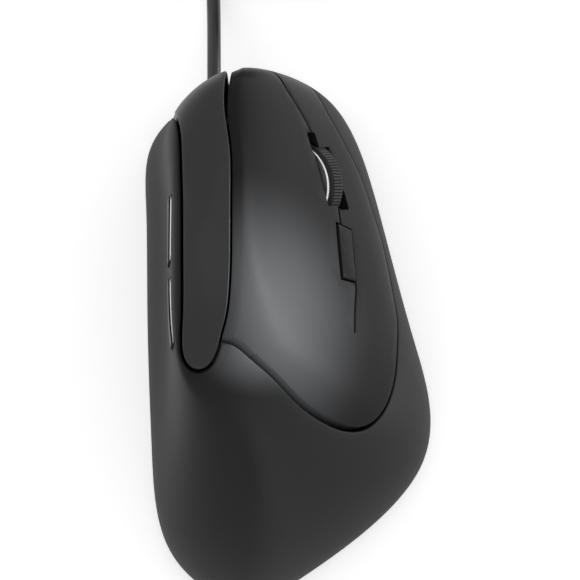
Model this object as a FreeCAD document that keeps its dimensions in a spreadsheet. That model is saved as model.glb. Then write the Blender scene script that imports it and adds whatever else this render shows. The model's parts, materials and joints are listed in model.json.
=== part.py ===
import FreeCAD, Part

import math
import os

Vector = FreeCAD.Vector
Rotation = FreeCAD.Rotation
Placement = FreeCAD.Placement

# A right-handed vertical mouse: a tall hollow shell that leans to the right, with two finger
# buttons and a wheel on its right face, thumb keys on its left flank and a cord at the nose.
# The frame has +X to the finger side, +Y to the nose and +Z up, and the feet stand on Z = 0.

doc = FreeCAD.newDocument("vertical_mouse")
sheet = doc.addObject("Spreadsheet::Sheet", "sizes")


def size(alias, value):
    """Write one driving dimension into the sheet and give its value back."""
    row = len(sheet.getUsedCells()) // 2 + 1
    sheet.set("A%d" % row, alias)
    sheet.set("B%d" % row, str(value))
    sheet.setAlias("B%d" % row, alias)
    return float(value)


# Outer form
body_length = size("body_length", 120.0)
body_width = size("body_width", 66.3)
body_height = size("body_height", 75.3)
rim_lift = size("rim_lift", 0.8)
shell_wall = size("shell_wall", 2.0)
seam_gap = size("seam_gap", 0.5)
nose_seam_gap = size("nose_seam_gap", 1.1)
button_gap = size("button_gap", 0.5)
hinge_gap = size("hinge_gap", 0.2)
panel_sill = size("panel_sill", 14.2)
edge_round = size("edge_round", 0.4)
band_width = size("band_width", 2.3)
band_drop = size("band_drop", 0.7)

# Finger face, the plane that the wheel, the switches and the sloping board are set out on
face_slope = size("face_slope", 62.0)
face_turn = size("face_turn", 15.0)

# Wheel
tyre_radius = size("tyre_radius", 11.0)
tyre_width = size("tyre_width", 7.2)
tyre_seat = size("tyre_seat", 8.8)
tread_depth = size("tread_depth", 0.35)
tread_ribs = int(size("tread_ribs", 72))
ring_drop = size("ring_drop", 0.4)
ring_width = size("ring_width", 0.9)
wheel_proud = size("wheel_proud", 1.5)
wheel_turn = size("wheel_turn", 5.0)
wheel_side_gap = size("wheel_side_gap", 0.5)
wheel_end_gap = size("wheel_end_gap", 0.5)
axle_radius = size("axle_radius", 1.1)
axle_play = size("axle_play", 0.06)
cradle_wall = size("cradle_wall", 1.3)
cradle_height = size("cradle_height", 4.6)
cradle_play = size("cradle_play", 0.5)
pivot_radius = size("pivot_radius", 0.9)

# Boards, switches and inner frame
board_thick = size("board_thick", 1.2)
board_depth = size("board_depth", 14.0)
switch_length = size("switch_length", 12.8)
switch_width = size("switch_width", 5.8)
switch_height = size("switch_height", 6.5)
tact_side = size("tact_side", 6.0)
tact_height = size("tact_height", 3.4)
side_tact_height = size("side_tact_height", 2.0)
plunger_rise = size("plunger_rise", 0.8)
plunger_sunk = size("plunger_sunk", 0.8)
plunger_play = size("plunger_play", 0.1)
plunger_reach = size("plunger_reach", 0.6)
post_play = size("post_play", 0.15)
post_radius = size("post_radius", 1.4)
frame_wall = size("frame_wall", 1.8)
board_stand = size("board_stand", 2.2)
inner_clear = size("inner_clear", 0.8)

# Base, feet and fastenings
base_thick = size("base_thick", 2.4)
base_play = size("base_play", 0.15)
foot_thick = size("foot_thick", 1.1)
foot_play = size("foot_play", 0.1)
foot_width = size("foot_width", 5.5)
boss_radius = size("boss_radius", 2.8)
boss_height = size("boss_height", 3.2)
case_boss_height = size("case_boss_height", 13.0)
case_boss_radius = size("case_boss_radius", 3.4)
screw_radius = size("screw_radius", 1.0)
screw_play = size("screw_play", 0.05)
screw_head_radius = size("screw_head_radius", 1.9)
screw_head_height = size("screw_head_height", 1.2)
screw_length = size("screw_length", 4.2)
case_screw_length = size("case_screw_length", 8.0)

# Keys on the thumb flank and behind the wheel
key_proud = size("key_proud", 0.5)
key_gap = size("key_gap", 0.4)
key_length = size("key_length", 14.6)
key_height = size("key_height", 8.0)
key_top = size("key_top", 68.2)
key_corner = size("key_corner", 1.2)
trim_height = size("trim_height", 1.3)
trim_proud = size("trim_proud", 0.7)
dpi_proud = size("dpi_proud", 0.3)

# Cord and plug
cord_diameter = size("cord_diameter", 3.2)
cord_exit_height = size("cord_exit_height", 9.0)
relief_reach = size("relief_reach", 3.2)
coil_gap = size("coil_gap", 0.95)
coil_radius = size("coil_radius", 25.0)
coil_turns = int(size("coil_turns", 3))
plug_width = size("plug_width", 15.8)
plug_height = size("plug_height", 8.0)
plug_length = size("plug_length", 20.0)
usb_width = size("usb_width", 12.0)
usb_height = size("usb_height", 4.5)
usb_reach = size("usb_reach", 12.0)
usb_wall = size("usb_wall", 0.3)
doc.recompute()

nodes = []


def keep(item):
    """Mark an object as a sub-part that is written out."""
    nodes.append(item)
    return item


def feature(label, shape, place=None):
    """Hold a shape made with Part functions as an object of the document."""
    item = doc.addObject("Part::Feature", label)
    item.Label = label
    item.Shape = shape
    if place is not None:
        item.Placement = place
    return item


def measure(item, name, value):
    """Set a size to a number, or bind it to an expression on the sheet."""
    if isinstance(value, str):
        item.setExpression(name, value)
    else:
        setattr(item, name, value)


def box(label, length, width, height, place):
    """Add a box whose sides are numbers or expressions on the sheet."""
    item = doc.addObject("Part::Box", label)
    item.Label = label
    measure(item, "Length", length)
    measure(item, "Width", width)
    measure(item, "Height", height)
    item.Placement = place
    return item


def cylinder(label, radius, height, place):
    """Add a cylinder whose sizes are numbers or expressions on the sheet."""
    item = doc.addObject("Part::Cylinder", label)
    item.Label = label
    measure(item, "Radius", radius)
    measure(item, "Height", height)
    item.Placement = place
    return item


def at(x, y, z):
    """Upright placement at a point."""
    return Placement(Vector(x, y, z), Rotation())


def along_x(x, y, z):
    """Placement whose own Z runs along +X."""
    return Placement(Vector(x, y, z), Rotation(Vector(0, 1, 0), 90))


def along_y(x, y, z):
    """Placement whose own Z runs along +Y."""
    return Placement(Vector(x, y, z), Rotation(Vector(1, 0, 0), -90))


def fuse(label, items):
    """Fuse objects of the document into one."""
    item = doc.addObject("Part::MultiFuse", label)
    item.Label = label
    item.Shapes = items
    return item


def cut(label, base, tools):
    """Cut one or more objects from a base."""
    item = doc.addObject("Part::Cut", label)
    item.Label = label
    item.Base = base
    item.Tool = tools[0] if len(tools) == 1 else fuse(label + "_tools", tools)
    return item


def common(label, items):
    """Keep what objects of the document share."""
    item = doc.addObject("Part::MultiCommon", label)
    item.Label = label
    item.Shapes = items
    return item


# Outer skin. Twelve rails run from the rim up to the crest. Each has a foot, a crown point and,
# at the tail, a bow, as shares of the width and length, and one of the profiles below. A profile
# lists how far out and how high its seven levels lie, as shares of the way from crown to foot
# and of the crest's height.
profiles = {
    "corner": [(.94, 0), (1, .10), (.92, .24), (.62, .42), (.46, .64), (.30, .87), (0, 1)],
    "thumb": [(.97, 0), (1, .07), (.74, .20), (.24, .36), (.14, .60), (.10, .86), (0, 1)],
    "tail": [(.97, 0), (1, .10), (.95, .32), (.78, .58), (.48, .82), (.18, .96), (0, 1)],
    "palm": [(.98, 0), (1.01, .08), (.94, .28), (.72, .52), (.43, .77), (.15, .95), (0, 1)],
    "finger": [(.98, 0), (1, .06), (.95, .22), (.74, .42), (.45, .68), (.14, .94), (0, 1)],
    "nose_side": [(.96, 0), (1, .08), (.95, .24), (.78, .43), (.49, .68), (.17, .93), (0, 1)],
    "nose": [(.96, 0), (1, .10), (.98, .35), (.94, .62), (.80, .86), (.46, .99), (0, 1.02)],
}
rails = [
    ("corner", (-.524, .419), (-.382, .327), (0, 0)),
    ("thumb", (-.495, .286), (-.382, .236), (0, 0)),
    ("thumb", (-.497, .052), (-.382, .044), (0, 0)),
    ("thumb", (-.476, -.206), (-.382, -.081), (0, 0)),
    ("tail", (-.461, -.423), (-.360, -.164), (.060, .025)),
    ("tail", (-.171, -.535), (-.277, -.189), (.120, .033)),
    ("palm", (.032, -.468), (-.201, -.148), (.075, .017)),
    ("palm", (.590, -.243), (-.171, -.073), (0, 0)),
    ("finger", (.444, .011), (-.164, .061), (0, 0)),
    ("finger", (.344, .236), (-.164, .227), (0, 0)),
    ("nose_side", (.209, .516), (-.171, .369), (0, 0)),
    ("nose", (-.156, .502), (-.254, .390), (0, 0)),
]
crest_centre = (-.269, .061)
crest_fall_front = 1.34
crest_fall_rear = 1.44
crest_cap = .004
crest_rings = [(.62, True), (.30, False), (.12, False)]
rim_drop = 1.0


def crest_height(share):
    """Height of the crest over the rim at a share of the length."""
    fall = crest_fall_front if share > crest_centre[1] else crest_fall_rear
    return body_height * (1 - crest_cap) * (1 - fall * (share - crest_centre[1]) ** 2)


def skin_net(inset):
    """Control net of the skin, moved in by an inset along the net's normals."""
    top = crest_height(crest_centre[1]) + crest_cap * body_height
    rows = []
    for level in range(len(profiles["nose"])):
        row = []
        for kind, foot, crown, bow in rails:
            out, up = profiles[kind][level]
            lean = 4 * out * (1 - out) if out < 1 else 0
            x = crown[0] + (foot[0] - crown[0]) * out + bow[0] * lean
            y = crown[1] + (foot[1] - crown[1]) * out + bow[1] * lean
            z = crest_height(crown[1]) * up
            row.append(Vector(x * body_width, y * body_length, z + rim_lift))
        rows.append(row)
    for share, falls in crest_rings:
        row = []
        for kind, foot, crown, bow in rails:
            x = crest_centre[0] + (crown[0] - crest_centre[0]) * share
            y = crest_centre[1] + (crown[1] - crest_centre[1]) * share
            drop = crest_height(y) - crest_height(crest_centre[1]) if falls else 0
            row.append(Vector(x * body_width, y * body_length, top + drop + rim_lift))
        rows.append(row)
    middle = Vector(crest_centre[0] * body_width, crest_centre[1] * body_length, 0)
    moved = []
    for level, row in enumerate(rows):
        moved_row = []
        for index, pole in enumerate(row):
            along = row[(index + 1) % len(row)] - row[index - 1]
            upward = rows[min(level + 1, len(rows) - 1)][index] - rows[max(level - 1, 0)][index]
            normal = along.cross(upward)
            if level >= len(rows) - 2:
                normal = Vector(0, 0, 1)
            if level == 0:
                normal.z = 0
            outward = pole - Vector(middle.x, middle.y, pole.z)
            if level >= len(profiles["nose"]):
                outward = Vector(0, 0, 1)
            if normal.dot(outward) < 0:
                normal = normal.negative()
            shifted = pole - normal.normalize() * inset
            if level == 0 and inset > 0:
                shifted.z -= rim_drop
            moved_row.append(shifted)
        moved.append(moved_row)
    return moved


def skin_solid(inset):
    """Closed solid inside the skin at an inset, flat below and with a small flat on the crest."""
    rows = skin_net(inset)
    columns = len(rows[0])
    poles = [[row[index] for row in rows] for index in range(columns)]
    spans = len(rows) - 3
    surface = Part.BSplineSurface()
    surface.buildFromPolesMultsKnots(
        poles, [1] * (columns + 1), [4] + [1] * (spans - 1) + [4],
        [float(knot) for knot in range(columns + 1)], [float(knot) for knot in range(spans + 1)],
        True, False, 3, 3)
    skin = surface.toShape()
    rings = [edge for edge in skin.Edges if edge.Closed]
    lids = [Part.Face(Part.Wire([edge])) for edge in rings]
    solid = Part.Solid(Part.makeShell([skin] + lids))
    solid.fix(1e-4, 1e-4, 1e-3)
    return solid


outer_skin = feature("outer_skin", skin_solid(0))
inner_skin = feature("inner_skin", skin_solid(shell_wall))
mid_skin = feature("mid_skin", skin_solid(shell_wall / 2))
room_skin = feature("room_skin", skin_solid(shell_wall + inner_clear))
key_skin = feature("key_skin", skin_solid(-key_proud))
trim_skin = feature("trim_skin", skin_solid(-trim_proud))
dpi_skin = feature("dpi_skin", skin_solid(-dpi_proud))


def skin_hit(start, direction, skin=outer_skin):
    """Point where a ray from inside the body meets a skin."""
    reach = body_length * 2
    ray = Part.makeLine(start, start + direction * reach)
    inside = ray.common(skin.Shape)
    ends = [vertex.Point for vertex in inside.Vertexes]
    return max(ends, key=lambda point: (point - start).Length)


def plan(share_x, share_y, z=0.0):
    """Point at shares of the width and length."""
    return Vector(share_x * body_width, share_y * body_length, z)


face_rotation = Rotation(Vector(0, 0, 1), face_turn) * Rotation(Vector(0, 1, 0), face_slope)
face_down = face_rotation.multVec(Vector(1, 0, 0))
face_out = face_rotation.multVec(Vector(0, 0, 1))
face_depth_start = 12.0
face_centre = plan(.1473, .2663, rim_lift + .4858 * body_height)
face_origin = skin_hit(face_centre - face_out * face_depth_start, face_out)
face = Placement(face_origin, face_rotation)


def on_face(u, v, w=0.0, turn=0.0):
    """Placement on the finger face: u down the slope, v to the nose, w outwards."""
    return Placement(face.multVec(Vector(u, v, w)), face_rotation * Rotation(Vector(0, 0, 1), turn))


def curve(points):
    """Smooth edge through points."""
    spline = Part.BSplineCurve()
    spline.interpolate(points)
    return spline.toShape()


def offset_points(points, distance, shares=None):
    """Move a row of points to their left by a distance, or by a share of it at each point."""
    moved = []
    for index, point in enumerate(points):
        ahead = points[min(index + 1, len(points) - 1)]
        behind = points[max(index - 1, 0)]
        along = (ahead - behind).normalize()
        share = shares[index] if shares else 1
        moved.append(point + Vector(-along.y, along.x, 0) * distance * share)
    return moved


def region(points, corners, low, high):
    """Prism over the area that a smooth edge through points and straight sides close in."""
    sides = [points[-1]] + corners + [points[0]]
    edges = [curve(points)]
    for start, end in zip(sides, sides[1:]):
        edges.append(Part.makeLine(start, end))
    area = Part.Face(Part.Wire(edges))
    prism = area.extrude(Vector(0, 0, high - low))
    prism.translate(Vector(0, 0, low))
    return prism


def rounded_prism(length, width, height, corner):
    """Prism over a rectangle with round corners, centred on its base."""
    half_x = length / 2
    half_y = width / 2
    block = Part.makeBox(length, width, height, Vector(-half_x, -half_y, 0))
    upright = [edge for edge in block.Edges if abs(edge.tangentAt(edge.FirstParameter).z) > .9]
    return block.makeFillet(corner, upright)


# Crest panel. Its edge runs from the nose back along the flank, round its rear end and forward
# again beside the finger plate.
panel_left = [(-.425, .540), (-.405, .440), (-.379, .352), (-.362, .309), (-.354, .251), (-.348, .150),
              (-.347, .060), (-.346, -.013), (-.348, -.065), (-.349, -.112), (-.341, -.132)]
panel_end = [(-.318, -.148), (-.291, -.152), (-.264, -.147), (-.242, -.133), (-.227, -.114)]
panel_right = [(-.216, -.090), (-.202, -.062), (-.190, -.012), (-.185, .061), (-.185, .170),
               (-.190, .272), (-.205, .335), (-.208, .378), (-.204, .420), (-.203, .540)]
panel_line = [plan(x, y) for x, y in panel_left + panel_end + panel_right]
panel_top = body_height * 1.2
panel_crest_low = body_height * .82
panel_nose_start = body_length * .32
nose_flare = (.30, .42)


def panel_tool(grow):
    """Tool for the crest panel, grown or shrunk all round by half a seam."""
    line = offset_points(panel_line, -grow)
    high = region(line, [], panel_crest_low, panel_top)
    nose = region(line, [], panel_sill - grow, panel_top)
    reach = body_length / 2
    ahead = Part.makeBox(body_width * 2, reach, panel_top, Vector(-body_width, panel_nose_start, 0))
    return high.fuse(nose.common(ahead)).removeSplitter()


def right_of_panel(shift, nose_shift):
    """Everything to the right of the panel's right edge."""
    line = [plan(-.26, -.30), plan(-.24, -.17)]
    for x, y in panel_right:
        nose_part = min(max((y - nose_flare[0]) / (nose_flare[1] - nose_flare[0]), 0), 1)
        step = shift + (nose_shift - shift) * nose_part
        line.append(plan(x, y) + Vector(step, 0, 0))
    far = body_width
    corners = [Vector(far, line[-1].y, 0), Vector(far, line[0].y, 0)]
    return region(line, corners, -panel_top, panel_top)


# Finger plate, set out on the finger face. Its outline runs down the rear seam, round the heel
# of the right button and forward along the right seam, as shares of height and length. The rear
# seam is wide and closes up along the heel.
plate_rear = [(-.690, -.280), (-.628, -.299), (-.600, -.312), (-.568, -.332), (-.477, -.377),
              (-.361, -.426), (-.224, -.463), (-.105, -.479)]
plate_heel = [(-.046, -.476), (.008, -.457), (.060, -.423), (.136, -.358)]
plate_side = [(.193, -.311), (.240, -.272), (.276, -.215), (.301, -.153), (.308, -.105), (.296, -.062),
              (.273, -.003), (.230, .054), (.197, .082), (.169, .111), (.146, .137), (.138, .163),
              (.143, .190), (.155, .230), (.160, .300), (.160, .420)]
plate_outline = plate_rear + plate_heel + plate_side
rear_seam_share = 1.6
side_seam_share = .7
plate_seam_shares = [rear_seam_share] * len(plate_rear)
for number in range(len(plate_heel)):
    closing = (number + 1) / (len(plate_heel) + 1)
    plate_seam_shares.append(rear_seam_share + (side_seam_share - rear_seam_share) * closing)
plate_seam_shares += [side_seam_share] * len(plate_side)
plate_far = -.95
plate_low = -34.0
plate_high = 24.0


def slope_point(u_share, v_share):
    """Point on the finger face at shares of the body's height and length."""
    return Vector(u_share * body_height, v_share * body_length, 0)


def plate_tool(grow):
    """Tool for the whole finger plate, grown or shrunk by half a seam."""
    line = offset_points([slope_point(u, v) for u, v in plate_outline], -grow, plate_seam_shares)
    far = plate_far * body_height
    corners = [Vector(far, line[-1].y, 0), Vector(far, line[0].y, 0)]
    return region(line, corners, plate_low, plate_high).transformGeometry(face.toMatrix())


# Split between the two buttons, from the nose to its rear end at the hinge line
split_outline = [(-.060, .420), (-.070, .300), (-.098, .222), (-.116, .182), (-.093, .147),
                 (-.049, .098), (-.010, .040), (.016, -.050), (.007, -.079), (.010, -.140),
                 (.006, -.204), (-.031, -.243), (-.087, -.300), (-.112, -.335)]
hinge_place = (-.093, -.306)
hinge_skew = 6.2


def button_side(sign):
    """Tool on one side of the split: sign -1 for the left button, 1 for the right."""
    shift = Vector(sign * button_gap / 2, 0, 0)
    line = [slope_point(u, v) + shift for u, v in split_outline]
    far = sign * body_height
    corners = [Vector(far, line[-1].y, 0), Vector(far, line[0].y, 0)]
    return region(line, corners, plate_low, plate_high).transformGeometry(face.toMatrix())


hinge_point = slope_point(*hinge_place)
hinge = on_face(hinge_point.x, hinge_point.y, -shell_wall / 2, hinge_skew)


def hinge_side(sign):
    """Tool on one side of the hinge line: sign 1 ahead of it, -1 behind it."""
    wide = body_height * 2
    deep = body_length
    start = hinge_gap / 2 if sign > 0 else -hinge_gap / 2 - deep
    block = Part.makeBox(wide, deep, wide, Vector(-wide / 2, start, -wide / 2))
    return block.transformGeometry(hinge.toMatrix())


# Wheel places. The wheel stands a little askew on the finger face, in a frame of its own.
wheel_stack = tyre_width + ring_width
half_stack = wheel_stack / 2
wheel_v = .013 * body_length
wheel_sink = tyre_radius - wheel_proud
wheel_face = on_face(0, wheel_v, 0, wheel_turn)
cheek_inner = half_stack + cradle_play
cheek_outer = cheek_inner + cradle_wall
encoder_reach = 4.0


def on_wheel(u, v, w=0.0):
    """Placement in the wheel's own frame: u along its axle, v to the nose, w outwards."""
    return Placement(wheel_face.multVec(Vector(u, v, w)), wheel_face.Rotation)


wheel_place = on_wheel(0, 0, -wheel_sink)

# The wheel's opening follows the tyre and has a notch ahead of it and one behind it
notch_front = (-half_stack - 1.15, -1.0, 5.0, 9.8)
notch_rear = (.7, half_stack + 1.85, -8.7, -4.0)
notch_corner = .7


def slot_tool():
    """Opening for the wheel through the finger plate."""
    half_width = half_stack + wheel_side_gap
    around = Part.makeCylinder(tyre_radius + wheel_end_gap, 2 * half_width,
                               Vector(-half_width, 0, -wheel_sink), Vector(1, 0, 0))
    for u_low, u_high, v_low, v_high in (notch_front, notch_rear):
        notch = rounded_prism(u_high - u_low, v_high - v_low, 2 * wheel_sink, notch_corner)
        notch.translate(Vector((u_low + u_high) / 2, (v_low + v_high) / 2, -wheel_sink))
        around = around.fuse(notch)
    around.Placement = wheel_face
    return around


# Corners of the opening for the key behind the wheel, on the finger face
dpi_corners = [(-.027, -.084), (.070, -.094), (.009, -.204), (-.085, -.199)]
dpi_points = [slope_point(u, v) for u, v in dpi_corners]
dpi_centre = (dpi_points[0] + dpi_points[1] + dpi_points[2] + dpi_points[3]) * .25
dpi_switch_spot = (dpi_centre.x, dpi_centre.y - .010 * body_length)


def dpi_tool(inset, low, high):
    """Prism for the key behind the wheel, inset from its opening."""
    area = Part.Face(Part.makePolygon(dpi_points + dpi_points[:1]))
    if inset:
        area = area.makeOffset2D(-inset, 2)
    prism = area.extrude(Vector(0, 0, high - low))
    prism.Placement = on_face(0, 0, low)
    return prism


def key_tool(label, middle, low, high, grow):
    """Prism along X for a key on the thumb flank, from inside the wall outwards."""
    height = high - low + 2 * grow
    prism = rounded_prism(height, key_length + 2 * grow, body_width / 3, key_corner)
    turn = Rotation(Vector(0, 1, 0), -90)
    prism.Placement = Placement(Vector(key_inside, middle, (low + high) / 2), turn)
    return feature(label, prism)


# Thumb keys
key_inside = -.30 * body_width
key_base = key_top - key_height
forward_middle = .116 * body_length
back_middle = -.038 * body_length
key_post_radius = 1.6
spine_left = -.250 * body_width
thumb_face = spine_left - board_thick
side_switch_face = thumb_face - side_tact_height
side_plunger_end = side_switch_face - plunger_rise

# Nose, where the cord leaves
cord_x = -.258 * body_width
cord_radius = cord_diameter / 2
nose_point = skin_hit(Vector(cord_x, 0, cord_exit_height), Vector(0, 1, 0))
relief_radius = cord_radius + 1.4
relief_end = nose_point.y + relief_reach

blank = cut("shell_blank", outer_skin, [inner_skin])
panel_piece = feature("panel_piece", panel_tool(-seam_gap / 2))
panel_opening = feature("panel_opening", panel_tool(seam_gap / 2))
plate_piece = feature("plate_piece", plate_tool(-seam_gap / 2).common(
    right_of_panel(seam_gap / 2, nose_seam_gap - seam_gap / 2)))
plate_opening = feature("plate_opening", plate_tool(seam_gap / 2).common(
    right_of_panel(-seam_gap, -seam_gap)))
wheel_slot = feature("wheel_slot", slot_tool())
dpi_opening = feature("dpi_opening", dpi_tool(0, plate_low, plate_high))
plate_blank = common("plate_blank", [blank, plate_piece])
plate_open = cut("plate_open", plate_blank, [wheel_slot, dpi_opening])


def skin_edges(shape, skin):
    """Edges of a piece where its outer surface, which lies on a skin, meets another face."""
    reference = max(skin.Shape.Faces, key=lambda face: face.Area).Surface
    own = set()
    other = set()
    for face in shape.Faces:
        on_skin = isinstance(face.Surface, Part.BSplineSurface) and face.Surface.NbUPoles == reference.NbUPoles
        if on_skin:
            on_skin = (face.Surface.getPole(1, 1) - reference.getPole(1, 1)).Length < 1e-6
        for edge in face.Edges:
            (own if on_skin else other).add(edge.hashCode())
    shared = own & other
    return [edge for edge in shape.Edges if edge.hashCode() in shared]


def on_hinge(edge):
    """Whether an edge lies along the hinge line, which stays sharp."""
    middle = edge.valueAt((edge.FirstParameter + edge.LastParameter) / 2)
    return abs(hinge.inverse().multVec(middle).y) < hinge_gap


def eased(label, source, skin, banded=False, least=0.0):
    """Round a piece's outer edges of a least length, after a broad bevel on the longest if banded."""
    shape = source.Shape
    limit = body_length * 5
    if banded:
        band = max(skin_edges(shape, skin), key=lambda edge: edge.Length)
        limit = band.Length * .9
        shape = shape.makeChamfer(band_width, band_drop, [band])
    edges = [edge for edge in skin_edges(shape, skin) if least < edge.Length < limit and not on_hinge(edge)]
    try:
        rounded = shape.makeFillet(edge_round, edges)
        good = rounded.isValid() and len(rounded.Solids) == len(shape.Solids)
    except Part.OCCError:
        good = False
    print("%s edges %d rounded %s" % (label, len(edges), good))
    return keep(feature(label, rounded if good else shape))


# Crest panel and finger plate with its two buttons. Each button carries a post that reaches
# down to its switch's plunger.
top_panel_sharp = common("top_panel_sharp", [blank, panel_piece])
doc.recompute()
top_panel = eased("top_panel", top_panel_sharp, outer_skin)
front_side = feature("front_side", hinge_side(1))
rear_side = feature("rear_side", hinge_side(-1))
switch_top = -board_depth + switch_height
left_switch_spot = (-.16 * body_height, .05 * body_length)
right_switch_spot = (cheek_outer + encoder_reach + 1.2 + switch_width / 2, -.008 * body_length)
plunger_shift = 2.5
cover_spots = [(-.40 * body_height, -.345 * body_length), (-.20 * body_height, -.345 * body_length)]
frame_top = -board_depth - board_thick - board_stand


def press_post(label, spot, low):
    """Post from a button's underside down to a plunger."""
    shaft = cylinder(label + "_shaft", "sizes.post_radius", -low, on_face(spot[0], spot[1], low))
    return common(label, [shaft, mid_skin])


def finger_button(label, sign, spot, least):
    """One finger button with the post over its switch and its edges of a least length rounded."""
    side = feature(label + "_side", button_side(sign))
    plate = common(label + "_plate", [plate_open, front_side, side])
    low = switch_top + plunger_rise + post_play * 2
    post = press_post(label + "_post", (spot[0], spot[1] + plunger_shift), low)
    sharp = fuse(label + "_sharp", [plate, post])
    doc.recompute()
    return eased(label, sharp, outer_skin, sign < 0, least)


left_least_edge = 3.0
right_least_edge = 9.0
left_button = finger_button("left_button", -1, left_switch_spot, left_least_edge)
right_button = finger_button("right_button", 1, right_switch_spot, right_least_edge)
cover_plate = common("cover_plate", [plate_open, rear_side])
cover_pegs = []
for number, spot in enumerate(cover_spots, 1):
    cover_pegs.append(press_post("cover_peg_%d" % number, spot, frame_top))
cover_sharp = fuse("cover_sharp", [cover_plate] + cover_pegs)
doc.recompute()
button_cover = eased("button_cover", cover_sharp, outer_skin)

# Key behind the wheel
tact_top = -board_depth + tact_height
dpi_prism = feature("dpi_prism", dpi_tool(key_gap, plate_low, plate_high))
dpi_wall = cut("dpi_wall", dpi_skin, [inner_skin])
dpi_cap = common("dpi_cap", [dpi_wall, dpi_prism])
dpi_low = tact_top + plunger_rise + post_play * 2
dpi_post = press_post("dpi_post", dpi_switch_spot, dpi_low)
dpi_sharp = fuse("dpi_sharp", [dpi_cap, dpi_post])
doc.recompute()
dpi_key = eased("dpi_key", dpi_sharp, dpi_skin)

# Thumb keys and their bright trims
key_wall = cut("key_wall", key_skin, [inner_skin])
trim_wall = cut("trim_wall", trim_skin, [inner_skin])
trim_base = key_top
trim_top = trim_base + trim_height
key_openings = []
for label, middle in (("forward", forward_middle), ("back", back_middle)):
    prism = key_tool(label + "_prism", middle, key_base, trim_top, 0)
    cap = common(label + "_cap", [key_wall, prism])
    level = at(-body_width, middle - key_length, trim_base)
    above = box(label + "_above", body_width, 2 * key_length, "sizes.trim_height * 2", level)
    lower_cap = cut(label + "_lower_cap", cap, [above])
    post_start = side_plunger_end - post_play * 2
    post_length = post_start - mid_skin.Shape.BoundBox.XMin
    post_level = (key_base + key_top) / 2
    shaft = cylinder(label + "_shaft", key_post_radius, post_length,
                     Placement(Vector(post_start, middle, post_level), Rotation(Vector(0, 1, 0), -90)))
    post = common(label + "_post", [shaft, mid_skin])
    keep(fuse(label + "_key", [lower_cap, post]))
    keep(common(label + "_trim", [trim_wall, prism, above]))
    key_openings.append(key_tool(label + "_opening", middle, key_base, trim_top, key_gap))

# Side shell with bosses for the case screws
base_top = rim_lift + base_thick
case_spots = [(-.378, -.331), (.254, -.320), (-.420, .235), (.212, .330)]
case_bosses = []
case_bores = []
for number, (x, y) in enumerate(case_spots, 1):
    spot = plan(x, y)
    boss = cylinder("case_boss_%d" % number, "sizes.case_boss_radius", "sizes.case_boss_height",
                    at(spot.x, spot.y, base_top))
    case_bosses.append(common("case_boss_trimmed_%d" % number, [boss, mid_skin]))
    case_bores.append(cylinder("case_bore_%d" % number, "sizes.screw_radius + sizes.screw_play",
                               "sizes.case_screw_length * 2 + 3.4", at(spot.x, spot.y, -case_screw_length)))
cord_hole = cylinder("cord_hole", relief_radius, body_width / 2, along_y(cord_x, body_length * .35, cord_exit_height))
shell_open = cut("shell_open", blank, [panel_opening, plate_opening, cord_hole] + key_openings)
shell_bossed = fuse("shell_bossed", [shell_open] + case_bosses)
shell_sharp = cut("shell_sharp", shell_bossed, case_bores)
doc.recompute()
side_shell = eased("side_shell", shell_sharp, outer_skin)

# Base plate with its bosses, sensor window, screw holes and foot recesses
base_skin = feature("base_skin", skin_solid(shell_wall + base_play))
wide = body_width * 2
deep = body_length * 2
slab = box("base_slab", wide, deep, "sizes.base_thick", at(-wide / 2, -deep / 2, rim_lift))
base_sheet = common("base_sheet", [base_skin, slab])
sensor_spot = plan(-.087, .066)
window_length = 10.0
window_width = 17.0
window = box("sensor_window", window_length, window_width, base_thick * 2,
             at(sensor_spot.x - window_length / 2, sensor_spot.y - window_width / 2, 0))
board_left = -.207 * body_width
board_right = .035 * body_width
board_rear = -.100 * body_length
board_front = .310 * body_length
board_edge = 2.9
board_level = base_top + boss_height + inner_clear
board_spots = []
for x in (board_left + board_edge, board_right - board_edge):
    for y in (board_rear + board_edge, board_front - board_edge):
        board_spots.append((x, y))
base_bosses = []
for number, (x, y) in enumerate(board_spots, 1):
    base_bosses.append(cylinder("base_boss_%d" % number, "sizes.boss_radius",
                                "sizes.boss_height + sizes.inner_clear", at(x, y, base_top)))
foot_outer = feature("foot_outer", skin_solid(shell_wall * 1.75))
foot_inner = feature("foot_inner", skin_solid(shell_wall * 1.75 + foot_width))
foot_hole_outer = feature("foot_hole_outer", skin_solid(shell_wall * 1.75 - foot_play))
foot_hole_inner = feature("foot_hole_inner", skin_solid(shell_wall * 1.75 + foot_width + foot_play))
foot_reach = .283 * body_length


def foot(label, outer, inner, start, grow):
    """Curved strip under the rim, from a line across the body to its end."""
    strip = cut(label + "_strip", outer, [inner])
    depth = body_length
    y = start - grow if start > 0 else start - depth + grow
    block = box(label + "_block", wide, depth, "sizes.foot_thick", at(-wide / 2, y, 0))
    return common(label, [strip, block])


front_foot = keep(foot("front_foot", foot_outer, foot_inner, foot_reach, 0))
rear_foot = keep(foot("rear_foot", foot_outer, foot_inner, -foot_reach, 0))
front_recess = foot("front_recess", foot_hole_outer, foot_hole_inner, foot_reach, foot_play)
rear_recess = foot("rear_recess", foot_hole_outer, foot_hole_inner, -foot_reach, foot_play)
head_level = foot_thick + foot_play
head_holes = []
for number, (x, y) in enumerate(case_spots, 1):
    spot = plan(x, y)
    head_holes.append(cylinder("head_hole_%d" % number, "sizes.screw_head_radius + sizes.screw_play",
                               head_level + screw_head_height, at(spot.x, spot.y, 0)))
flange_spots = [plan(-.300, -.080), plan(-.300, .230)]
pilot_spots = [(x, y) for x, y in board_spots] + [(spot.x, spot.y) for spot in flange_spots]
pilots = []
for number, (x, y) in enumerate(pilot_spots, 1):
    pilots.append(cylinder("pilot_%d" % number, "sizes.screw_radius + sizes.screw_play", board_level,
                           at(x, y, rim_lift + inner_clear)))
base_bossed = fuse("base_bossed", [base_sheet] + base_bosses)
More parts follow.
